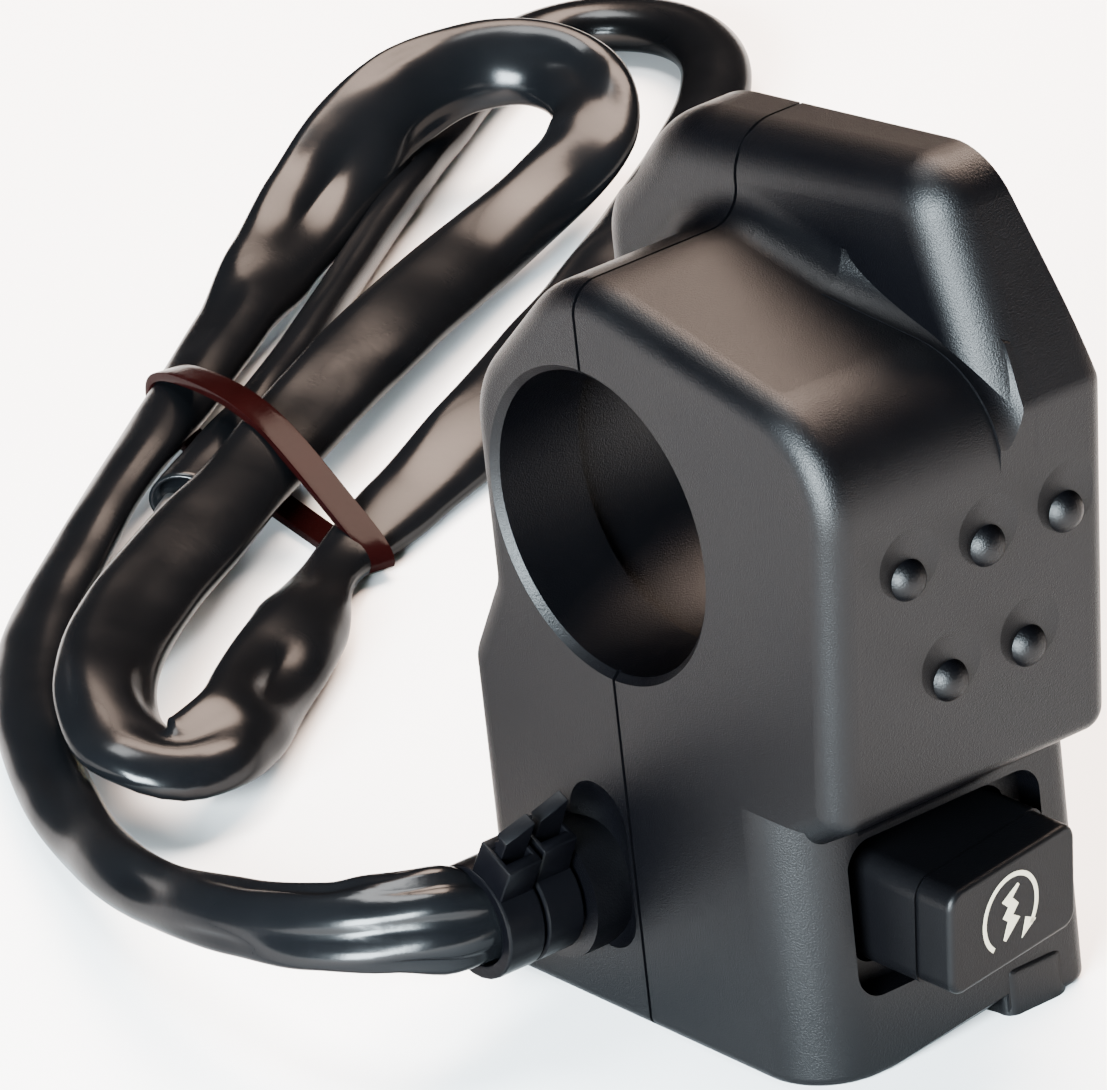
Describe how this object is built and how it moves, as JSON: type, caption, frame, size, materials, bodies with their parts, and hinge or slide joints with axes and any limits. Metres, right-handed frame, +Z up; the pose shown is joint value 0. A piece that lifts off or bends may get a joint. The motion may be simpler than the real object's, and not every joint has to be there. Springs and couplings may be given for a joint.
{
  "type": "starter switch",
  "caption": "Handlebar starter switch: two-piece clamp housing with a sprung push button, and a sleeved cable tied in a hank.",
  "frame": {"origin": "centre of the handlebar bore, halfway along it", "axes": "+X along the handlebar away from the face that the cable leaves, +Y from the rider's side, where the button is, to the far side, +Z up from the flat bottom that the housing stands on"},
  "size_m": [0.1398, 0.1754, 0.0642],
  "materials": {
    "housing": "fine-grained satin black moulding",
    "button": "matt dark grey moulding with a printed symbol",
    "carrier": "natural nylon",
    "base": "brown phenolic board",
    "brass": "plain",
    "spring": "drawn wire",
    "screw": "zinc plated",
    "solder": "tinned",
    "lead_feed": "PVC insulation, black",
    "lead_return": "PVC insulation, yellow",
    "tie": "black nylon",
    "sleeve": "soft glossy black PVC sleeving",
    "band": "dark red-brown, slightly see-through",
    "tail": "PVC insulation",
    "boot": "clear soft PVC"
  },
  "bodies": {
    "housing": {"front_housing": "housing", "rear_housing": "housing", "housing_screws": "screw", "return_spring": "spring", "contact_base": "base", "base_screws": "screw", "terminal_left": "brass", "terminal_right": "brass", "solder_joints": "solder", "lead_feed": "lead_feed", "lead_return": "lead_return", "cable_ties": "tie", "sleeve_exit": "sleeve", "sleeve_hank": "sleeve", "hank_band": "band", "tail_wires": "tail", "bullet_terminals": "brass", "bullet_boots": "boot"},
    "button": {"start_button": "button", "contact_carrier": "carrier", "contact_bridge": "brass"}
  },
  "joints": [
    {"name": "button_press", "type": "slide", "parent": "housing", "child": "button", "axis": [0, 1, 0], "range_m": [0, 0.0022], "stiffness_N_per_m": 1200, "springref_m": -0.0012, "deforming": ["return_spring"]}
  ]
}
